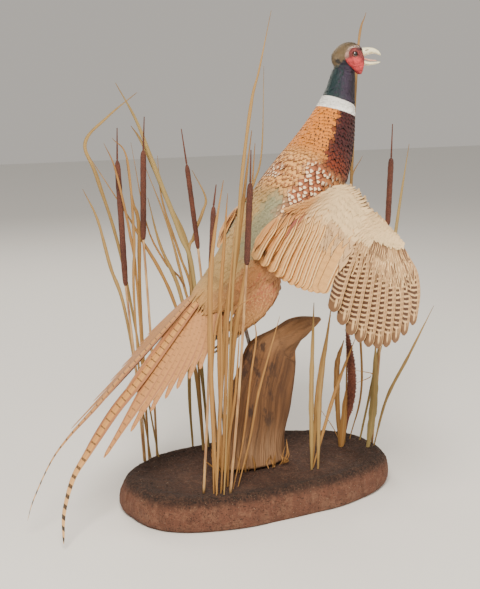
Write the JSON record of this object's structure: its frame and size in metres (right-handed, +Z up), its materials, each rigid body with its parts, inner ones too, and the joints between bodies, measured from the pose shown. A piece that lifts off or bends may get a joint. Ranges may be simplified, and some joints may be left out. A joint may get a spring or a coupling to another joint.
{
  "type": "taxidermy pheasant mount",
  "caption": "Cock ring-necked pheasant mounted flying up over a driftwood stump among dry cattails and reeds on an oblong earth base.",
  "frame": {"origin": "middle of the earth base's flat underside", "axes": "+X the bird's heading and the base's long axis, +Y the bird's left, +Z up"},
  "size_m": [0.6404, 0.5192, 0.7172],
  "materials": {
    "earth": "matt",
    "driftwood": "matt",
    "dry_leaf": "satin",
    "cattail_spike": "matt",
    "stalk": "satin",
    "feather_mantle": "satin",
    "feather_neck": "glossy",
    "feather_crown": "satin",
    "feather_wing": "satin",
    "feather_tail": "satin",
    "bare_skin": "matt",
    "bill_horn": "satin",
    "tongue": "satin",
    "eye_glass": "glossy",
    "leg_scale": "satin",
    "steel": "satin"
  },
  "bodies": {
    "root": {"base": "earth", "bill_lower": "bill_horn", "bill_upper": "bill_horn", "cattail_1_spike": "cattail_spike", "cattail_1_stalk": "stalk", "cattail_2_spike": "cattail_spike", "cattail_2_stalk": "stalk", "cattail_3_spike": "cattail_spike", "cattail_3_stalk": "stalk", "cattail_4_spike": "cattail_spike", "cattail_4_stalk": "stalk", "cattail_5_spike": "cattail_spike", "cattail_5_stalk": "stalk", "cattail_6_spike": "cattail_spike", "cattail_6_stalk": "stalk", "dock_spike": "cattail_spike", "driftwood": "driftwood", "eye_left": "eye_glass", "eye_right": "eye_glass", "head": "feather_crown", "leaf_front_1": "dry_leaf", "leaf_front_2": "dry_leaf", "leaf_front_3": "dry_leaf", "leaf_front_4": "dry_leaf", "leaf_head": "dry_leaf", "leaf_mid_1": "dry_leaf", "leaf_mid_2": "dry_leaf", "leaf_mid_3": "dry_leaf", "leaf_mid_4": "dry_leaf", "leaf_rear_1": "dry_leaf", "leaf_rear_2": "dry_leaf", "leaf_right_1": "dry_leaf", "leaf_right_2": "dry_leaf", "leaf_right_3": "dry_leaf", "leaf_stump_1": "dry_leaf", "leaf_stump_2": "dry_leaf", "leaf_stump_3": "dry_leaf", "leaf_tall_back": "dry_leaf", "leaf_tall_front": "dry_leaf", "leg_left": "leg_scale", "leg_right": "leg_scale", "neck": "feather_neck", "support_rod": "steel", "tail_middle_left": "feather_tail", "tail_middle_right": "feather_tail", "tail_side_left": "feather_tail", "tail_side_right": "feather_tail", "thigh_left": "feather_tail", "thigh_right": "feather_tail", "tongue": "tongue", "trunk": "feather_mantle", "undertail_coverts": "feather_tail", "wattle_left": "bare_skin", "wattle_right": "bare_skin", "wing_left_arm": "feather_wing", "wing_left_primaries": "feather_wing", "wing_left_secondaries": "feather_wing", "wing_right_arm": "feather_wing", "wing_right_primaries": "feather_wing", "wing_right_secondaries": "feather_wing"}
  },
  "joints": []
}
